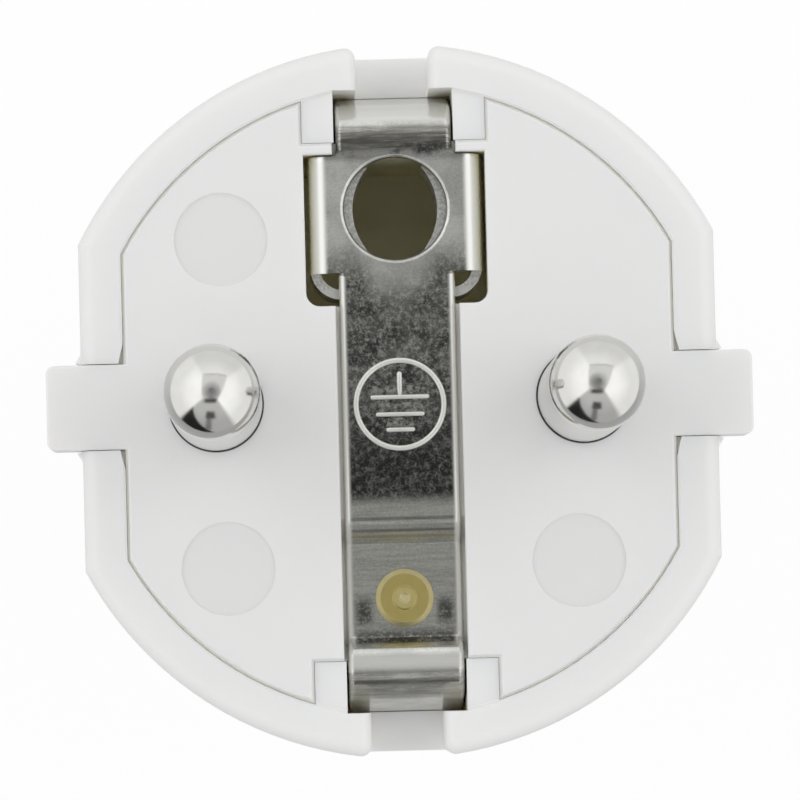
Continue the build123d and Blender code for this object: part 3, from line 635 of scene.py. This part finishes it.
def bare_plating(tree, where, flat, low_crest, streaks):
    x, along, z = split(tree, where)
    fine = fade(tree, noise(tree, where, *FINE_NOISE), *MIDDLE_GRAIN, 0.0, FINE_SHARE)
    patchy = fade(tree, noise(tree, where, *PATCH_NOISE), *MIDDLE_GRAIN, 0.0, PATCHY_SHARE)
    lively = tint(tree, calc(tree, "ADD", fine, patchy), *LIVELY_COLOURS)
    lined = tint(tree, calc(tree, "ADD", fine, product(tree, streaks, LINED_SHARE)), *LINED_COLOURS)
    bends = fade(tree, calc(tree, "ABSOLUTE", along), *END_BENDS)
    plating = tint(tree, calc(tree, "MAXIMUM", fade(tree, along, *LIVELY_RUN), bends), lined, lively)
    crests = calc(tree, "MAXIMUM", fade(tree, along, *HIGH_CREST), low_crest)
    # polish and painted highlight on the crests and the rounded edges
    polish_and_highlight = calc(tree, "MAXIMUM", crests, calc(tree, "SUBTRACT", 1.0, flat))
    edge = tint(tree, fade(tree, calc(tree, "ABSOLUTE", x), *WING_EDGE), *EDGE_POLISH_AND_HIGHLIGHT)
    plating = tint(tree, polish_and_highlight, plating, edge)
    low, high = [STRIP_TOP / MM - below for below in ARMS_BELOW]
    arms = product(tree, fade_out(tree, z, low, high),
                   band(tree, along, WINGS[0], WINGS[1] + ARMS_LONGER, WING_SOFT))
    scraped = fade(tree, noise(tree, where, *SCRAPE_NOISE), *MIDDLE_GRAIN)
    return tint(tree, arms, plating, tint(tree, scraped, *ARM_COLOURS))


print("strip's top at", round(STRIP_TOP / MM, 2), "mm")

# %% [markdown]
# The third layer is painted shade and reflection. Dark lines are painted across the jog, with a
# brass-coloured one among them for the brass that its slope mirrors, and the two end bends get dark
# zones, broken into streaks, for the dark places they mirror. Two dark spots beside the rivet and a dark
# band at the foot of the rise are painted reflection and shade, and broken painted shade lies at the
# foot of the upper bend.

# %% Painted shade and reflections on the strip
# painted dark reflection on the two end bends, broken into streaks
DARK_BEND_REFLECTIONS = [(13.6, 0.45, 1.0), (-14.65, 0.45, 0.65)]         # place, half width and share
BEND_REFLECTION_SOFT = 0.35
BEND_REFLECTION_COLOUR = (0.25, 0.245, 0.215)
# painted shade lines across the jog
LINE_COLOUR = (0.12, 0.115, 0.10)
# painted reflection of the brass in the jog
BRASS_COLOUR = (0.42, 0.36, 0.19)
JOG_SHADE_LINES = [(-6.1, 0.09, 0.7, LINE_COLOUR), (-6.7, 0.07, 0.7, LINE_COLOUR),
              (-7.0, 0.07, 0.8, BRASS_COLOUR)]               # place, half width, share and colour
# painted dark reflection: two spots beside the rivet
REFLECTED_SPOT_ASIDE = (2.1, 0.15, 0.5)               # middle, half width and soft edge
REFLECTED_SPOT_ALONG = (-10.9, 0.2, 0.9)
# painted shade: a dark band at the foot of the rise
FOOT_TOP = (-12.3, -11.5)
FOOT_END = (-12.6, -12.45)
FOOT_SIDES = (2.4, 2.65)
# painted shade at the foot of the upper bend
BEND_FOOT_SHADE = (13.0, 0.12, 0.35)                   # at the foot of the upper bend
BEND_FOOT_CLOUDS = (0.42, 0.58)
WORN_SPECKS = (0.1, 0.7)                      # the painted dark spots, band and bend shade are thinner on the light specks
PAINTED_DARK_SHARES = (0.9, 0.35)
BEND_FOOT_SHARES = (0.9, 0.3)
# colour of the painted dark spots, band and bend shade
PAINTED_DARK_COLOUR = (0.08, 0.08, 0.075)


# painted shade and reflection on the bends, across the jog and beside the rivet
def painted_shade_and_reflections(tree, aside, along, flat, clouds, specks, streaks, colour):
    for middle, half, share in DARK_BEND_REFLECTIONS:
        zone = product(tree, band(tree, along, middle, half, BEND_REFLECTION_SOFT), streaks, share)
        colour = tint(tree, zone, colour, BEND_REFLECTION_COLOUR)
    for middle, half, share, line_colour in JOG_SHADE_LINES:
        line = product(tree, flat, band(tree, along, middle, half / 2, half), streaks, share)
        colour = tint(tree, line, colour, line_colour)
    patch = product(tree, band(tree, aside, *REFLECTED_SPOT_ASIDE), band(tree, along, *REFLECTED_SPOT_ALONG))
    foot = product(tree, fade_out(tree, along, *FOOT_TOP), fade(tree, along, *FOOT_END),
                   fade_out(tree, aside, *FOOT_SIDES))
    painted_dark = product(tree, calc(tree, "MAXIMUM", patch, foot),
                     fade(tree, specks, *WORN_SPECKS, *PAINTED_DARK_SHARES))
    colour = tint(tree, painted_dark, colour, PAINTED_DARK_COLOUR)
    bend_foot_shade = product(tree, band(tree, along, *BEND_FOOT_SHADE), fade(tree, clouds, *BEND_FOOT_CLOUDS),
                     fade(tree, specks, *WORN_SPECKS, *BEND_FOOT_SHARES))
    return tint(tree, bend_foot_shade, colour, PAINTED_DARK_COLOUR)


# counts of the painted bend reflections and jog lines
print("tool marks:", len(DARK_BEND_REFLECTIONS), "streaked bends,", len(JOG_SHADE_LINES), "lines")

# %% [markdown]
# Now the layers are put together. The painted dark reflection covers only the flat of the strip, from
# the jog to below the earth hole, and climbs further along its edges than in its middle. A noise that is
# stretched across the strip gives the streaks, for the colour and for a low bump.

# %% Finish of the earth strip
WING_WIDER = 0.95                             # how much wider the flat is at the wings
FLAT_EDGE = (2.55, 2.75)
LOW_CREST = (-13.5, 0.15, 0.5)                # the lower bend's crest: middle, half width and soft edge
STRIP_CLOUD_SCALE = 0.8
SPECK_NOISE = (4.0, 6.0, 0.8)                 # scale, detail and roughness
SPECKED = (0.42, 0.72)
STREAK_STRETCH = (12.0, 1.0, 1.0)
STREAK_NOISE = (6.0, 4.0, 0.7)
STREAK_LIMITS = (0.35, 0.60)
STREAK_SHARES = (0.45, 1.0)
DARK_REFLECTION_START = (-5.6, -4.65)
DARK_REFLECTION_END = (4.1, 6.9)
DARK_REFLECTION_CLIMB = (0.42, 1.8)                   # how fast and how far it climbs along the edges
SHINY_ENDS = (12.3, 12.7)
STRIP_ROUGHNESS = (0.36, 0.22)                # on the face, and over the end bends
CREST_ROUGHNESS = 0.50
DARK_REFLECTION_ROUGHNESS = 0.30
STRIP_GRAIN_NOISE = (5.0, 3.0)
STRIP_GRAIN = (0.12, 0.01)                    # strength and height
STREAK_BUMP = (0.10, 0.01)


def strip_plating():
    finish, tree, shader = new_finish("strip_plating")
    shader["Metallic"].default_value = 1.0
    where = millimetres(tree)
    x, along, _ = split(tree, where)
    aside = calc(tree, "ABSOLUTE", x)
    winged = product(tree, band(tree, along, *WINGS, WING_SOFT), WING_WIDER)
    flat = fade_out(tree, calc(tree, "SUBTRACT", aside, winged), *FLAT_EDGE)
    low_crest = band(tree, along, *LOW_CREST)
    clouds = noise(tree, where, STRIP_CLOUD_SCALE)
    specks = fade(tree, noise(tree, where, *SPECK_NOISE), *SPECKED)
    stretched = add(tree, "ShaderNodeMapping", vector_type="TEXTURE")
    stretched.inputs["Scale"].default_value = STREAK_STRETCH
    wire(tree, where, stretched.inputs["Vector"])
    drawn_out = noise(tree, stretched.outputs["Vector"], *STREAK_NOISE)
    streaks = fade(tree, drawn_out, *STREAK_LIMITS, *STREAK_SHARES)

    plating = bare_plating(tree, where, flat, low_crest, streaks)
    plating = painted_shade_and_reflections(tree, aside, along, flat, clouds, specks, streaks, plating)
    speed, most = DARK_REFLECTION_CLIMB
    climb = calc(tree, "MINIMUM", product(tree, aside, aside, speed), most)
    # where the painted dark reflection lies on the flat
    dark_reflection_mask = product(tree, flat, fade(tree, along, *DARK_REFLECTION_START),
                        fade_out(tree, calc(tree, "SUBTRACT", along, climb), *DARK_REFLECTION_END))
    dark = dark_reflection_and_scratches(tree, where, along, clouds, specks)
    wire(tree, tint(tree, dark_reflection_mask, plating, dark), shader["Base Color"])

    rough = fade(tree, calc(tree, "ABSOLUTE", along), *SHINY_ENDS, *STRIP_ROUGHNESS)
    rough = blend(tree, low_crest, rough, CREST_ROUGHNESS)
    wire(tree, blend(tree, dark_reflection_mask, rough, DARK_REFLECTION_ROUGHNESS), shader["Roughness"])
    grained = bump(tree, noise(tree, where, *STRIP_GRAIN_NOISE), *STRIP_GRAIN)
    wire(tree, bump(tree, streaks, *STREAK_BUMP, grained), shader["Normal"])
    return finish


strip_finish = strip_plating()
print("strip:", strip_finish.name, "with", len(strip_finish.node_tree.nodes), "nodes")

# %% [markdown]
# ## Brass and steel
# The earth terminal is bare brass: its riveted end shows on the strip. The tool that spread it left
# a bright rim and a bright middle and rubbed the brass between them less. One plain colour would look
# like paint there, so the colour goes by the distance from the rivet's axis. The screws inside are
# zinc-plated steel, cloudy and a little rough.

# %% Brass and steel
RIVET_Y = -10.2                               # the rivet's axis
STAIN_NOISE = (2.2, 4.0)                      # scale and detail
BRASS_COLOURS = [(0.576, 0.483, 0.192), (0.504, 0.414, 0.141)]
RIM = (1.20, 1.30)
RIM_COLOUR = (0.625, 0.55, 0.29)
RUBBED_ZONES = [((0.64, 0.70), (0.65, 0.564, 0.247)), ((0.24, 0.34), (0.75, 0.68, 0.41))]
BRASS_ROUGHNESS = (0.42, 0.50)
ZINC_NOISE = (3.0, 5.0)
ZINC_COLOURS = [(0.66, 0.67, 0.68), (0.50, 0.51, 0.50)]
ZINC_ROUGHNESS = (0.30, 0.45)
ZINC_GRAIN_SCALE = 9.0
ZINC_GRAIN = (0.1, 0.01)                      # strength and height


def terminal_brass():
    finish, tree, shader = new_finish("terminal_brass")
    shader["Metallic"].default_value = 1.0
    where = millimetres(tree)
    x, y, _ = split(tree, where)
    radius = distance(tree, x, calc(tree, "SUBTRACT", y, RIVET_Y))
    stain = noise(tree, where, *STAIN_NOISE)
    brass = tint(tree, stain, *BRASS_COLOURS)
    brass = tint(tree, fade(tree, radius, *RIM), brass, RIM_COLOUR)
    for zone, colour in RUBBED_ZONES:
        brass = tint(tree, fade_out(tree, radius, *zone), brass, colour)
    wire(tree, brass, shader["Base Color"])
    wire(tree, fade(tree, stain, *MIDDLE_NOISE, *BRASS_ROUGHNESS), shader["Roughness"])
    return finish


def screw_steel():
    finish, tree, shader = new_finish("screw_steel")
    shader["Metallic"].default_value = 1.0
    where = millimetres(tree)
    zinc = noise(tree, where, *ZINC_NOISE)
    wire(tree, tint(tree, zinc, *ZINC_COLOURS), shader["Base Color"])
    wire(tree, fade(tree, zinc, *MIDDLE_NOISE, *ZINC_ROUGHNESS), shader["Roughness"])
    wire(tree, bump(tree, noise(tree, where, ZINC_GRAIN_SCALE), *ZINC_GRAIN), shader["Normal"])
    return finish


brass_finish = terminal_brass()
steel_finish = screw_steel()
print("metals:", brass_finish.name, steel_finish.name)

# %% [markdown]
# ## Finishes on the CAD pieces
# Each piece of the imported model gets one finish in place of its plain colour. Their meshes stay as CAD
# made them: an edge that is round on the real plug is round there already, so none needs a bevel here.

# %% Finishes on the CAD pieces
finishes = {
    "outer_cover": cover_plastic, "face_insert": carrier_plastic, "cord_clamp_bar": clamp_plastic,
    "left_pin": pin_finish, "right_pin": pin_finish, "earth_strip": strip_finish,
    "earth_terminal": brass_finish, "earth_terminal_screw": steel_finish,
    "left_terminal_screw": steel_finish, "right_terminal_screw": steel_finish,
    "cord_clamp_screws": steel_finish,
}
for name, finish in finishes.items():
    nodes[name].data.materials.clear()
    nodes[name].data.materials.append(finish)
print("finished:", len(finishes), "of", len(nodes))

# %% [markdown]
# ## Earth sign
# The usual earth sign, a ring round three bars and a stem, is stamped up from the strip as low rounded
# ridges. A texture could paint it, but a ridge catches the light on its flanks, so it is modelled, in
# millimetres first. The ring is an arch-shaped section that is spun round once.

# %% Ring of the earth sign
SIGN_R = 2.27
RING_HALF = 0.14                              # half width of the ring's ridge
RIDGE_RISE = 0.10
ARCH_STEPS = 8
RING_STEPS = 96

sign = bmesh.new()
arch = []
for step in range(ARCH_STEPS + 1):
    angle = pi * step / ARCH_STEPS
    arch.append(sign.verts.new((SIGN_R - cos(angle) * RING_HALF, 0.0, sin(angle) * RIDGE_RISE)))
section = [sign.edges.new(pair) for pair in zip(arch, arch[1:] + arch[:1])]
bmesh.ops.spin(sign, geom=arch + section, axis=(0, 0, 1), cent=(0, 0, 0), angle=2 * pi,
               steps=RING_STEPS, use_merge=True)
print("ring:", len(sign.faces), "faces")

# %% [markdown]
# A bar is a ball whose two halves are drawn apart, so its ends stay round. Behind each bar the metal
# falls away in a gentle slope: a triangle that is extruded along the bar and then narrowed at its thin
# end. The slopes get their own place in the list of materials.

# %% Bars and slopes of the earth sign
BALL_SIDES = 16
BALL_RINGS = 9
BAR_HALF = 0.13                               # half widths
STEM_HALF = 0.14
SIGN_BARS = [(0.39, 1.53), (-0.5, 1.27), (-1.3, 0.75)]       # place and half length
STEM_TOP = 1.7
SLOPE_START = 0.8 * BAR_HALF                  # the slopes begin under the bars' far flank
SLOPE_RUN = 0.55
SLOPE_RISE = 0.085
SLOPE_SINK = 0.01
SLOPE_IN = 0.14                               # they are narrower at their far end
RIDGE_FINISH, SLOPE_FINISH = 0, 1


def ridge_bar(middle, reach, half, turned=0.0):
    """A rounded bar along X, or turned."""
    ball = bmesh.ops.create_uvsphere(sign, u_segments=BALL_SIDES, v_segments=BALL_RINGS,
                                     radius=half)["verts"]
    bmesh.ops.rotate(sign, verts=ball, cent=(0, 0, 0), matrix=Matrix.Rotation(pi / 2, 3, "Y"))
    for vert in ball:
        vert.co.x += reach - half if vert.co.x > 0 else half - reach
        vert.co.z *= RIDGE_RISE / half
    bmesh.ops.rotate(sign, verts=ball, cent=(0, 0, 0), matrix=Matrix.Rotation(turned, 3, "Z"))
    bmesh.ops.translate(sign, verts=ball, vec=(0.0, middle, 0.0))


def slope(y, reach):
    """The wedge behind a bar."""
    near = y + SLOPE_START
    thick = [sign.verts.new((-reach, near, z)) for z in (-SLOPE_SINK, SLOPE_RISE)]
    thin = sign.verts.new((-reach, near + SLOPE_RUN, -SLOPE_SINK))
    side = sign.faces.new(thick + [thin])
    drawn = bmesh.ops.extrude_face_region(sign, geom=[side])["geom"]
    drawn = [item for item in drawn if isinstance(item, bmesh.types.BMVert)]
    bmesh.ops.translate(sign, verts=drawn, vec=(2 * reach, 0.0, 0.0))
    thin_end = [vert for vert in drawn + [thin] if vert.co.y > near + SLOPE_RUN / 2]
    bmesh.ops.scale(sign, verts=thin_end, vec=(1.0 - SLOPE_IN / reach, 1.0, 1.0))
    for vert in thick + drawn:
        for face in vert.link_faces:
            face.material_index = SLOPE_FINISH


for y, reach in SIGN_BARS:
    ridge_bar(y, reach, BAR_HALF)
    slope(y, reach)
stem_foot = SIGN_BARS[0][0]
stem_reach = (STEM_TOP - stem_foot) / 2
ridge_bar(stem_foot + stem_reach, stem_reach, STEM_HALF, pi / 2)
print("sign:", len(sign.faces), "faces")

# %% [markdown]
# The sign is moved to its place on the strip, brought from millimetres to metres and made a mesh. The
# ridges are worn bright. The slopes are painted dark and mottled, to go with the painted dark reflection
# round them.

# %% Earth sign as a piece
SIGN_Y = -0.2
RIDGE_METALLIC = 0.5
WORN_NOISE = (4.0, 3.0)                       # scale and detail
RIDGE_COLOURS = [(0.88, 0.88, 0.84), (0.70, 0.70, 0.66)]
RIDGE_ROUGHNESS = (0.30, 0.40)
RIDGE_GRAIN_SCALE = 8.0
RIDGE_GRAIN = (0.1, 0.01)                     # strength and height
MOTTLE_NOISE = (3.0, 6.0, 0.7)                # scale, detail and roughness
# painted dark, to go with the painted dark reflection round the sign
SLOPE_COLOURS = [(0.34, 0.34, 0.32), (0.04, 0.04, 0.038)]
SLOPE_ROUGHNESS = (0.36, 0.46)
SLOPE_GRAIN = (0.08, 0.01)

bmesh.ops.translate(sign, verts=sign.verts, vec=(0.0, SIGN_Y, 0.0))
bmesh.ops.scale(sign, verts=sign.verts, vec=(MM, MM, MM))
bmesh.ops.translate(sign, verts=sign.verts, vec=(0.0, 0.0, STRIP_TOP))
bmesh.ops.recalc_face_normals(sign, faces=sign.faces)
sign_mesh = bpy.data.meshes.new("earth_sign")
sign.to_mesh(sign_mesh)
sign.free()
for face in sign_mesh.polygons:
    face.use_smooth = face.material_index == RIDGE_FINISH
earth_sign = bpy.data.objects.new("earth_sign", sign_mesh)
bpy.context.collection.objects.link(earth_sign)

sign_finish, tree, shader = new_finish("sign_plating")
where = millimetres(tree)
worn = noise(tree, where, *WORN_NOISE)
shader["Metallic"].default_value = RIDGE_METALLIC
wire(tree, tint(tree, worn, *RIDGE_COLOURS), shader["Base Color"])
wire(tree, fade(tree, worn, *MIDDLE_NOISE, *RIDGE_ROUGHNESS), shader["Roughness"])
wire(tree, bump(tree, noise(tree, where, RIDGE_GRAIN_SCALE), *RIDGE_GRAIN), shader["Normal"])
sign_mesh.materials.append(sign_finish)

slope_finish, tree, shader = new_finish("slope_plating")
mottled = fade(tree, noise(tree, millimetres(tree), *MOTTLE_NOISE), *MIDDLE_GRAIN)
shader["Metallic"].default_value = 1.0
wire(tree, tint(tree, mottled, *SLOPE_COLOURS), shader["Base Color"])
wire(tree, fade(tree, mottled, *MIDDLE_NOISE, *SLOPE_ROUGHNESS), shader["Roughness"])
wire(tree, bump(tree, mottled, *SLOPE_GRAIN), shader["Normal"])
sign_mesh.materials.append(slope_finish)
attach(earth_sign, "root")
print("earth sign:", len(sign_mesh.polygons), "faces")
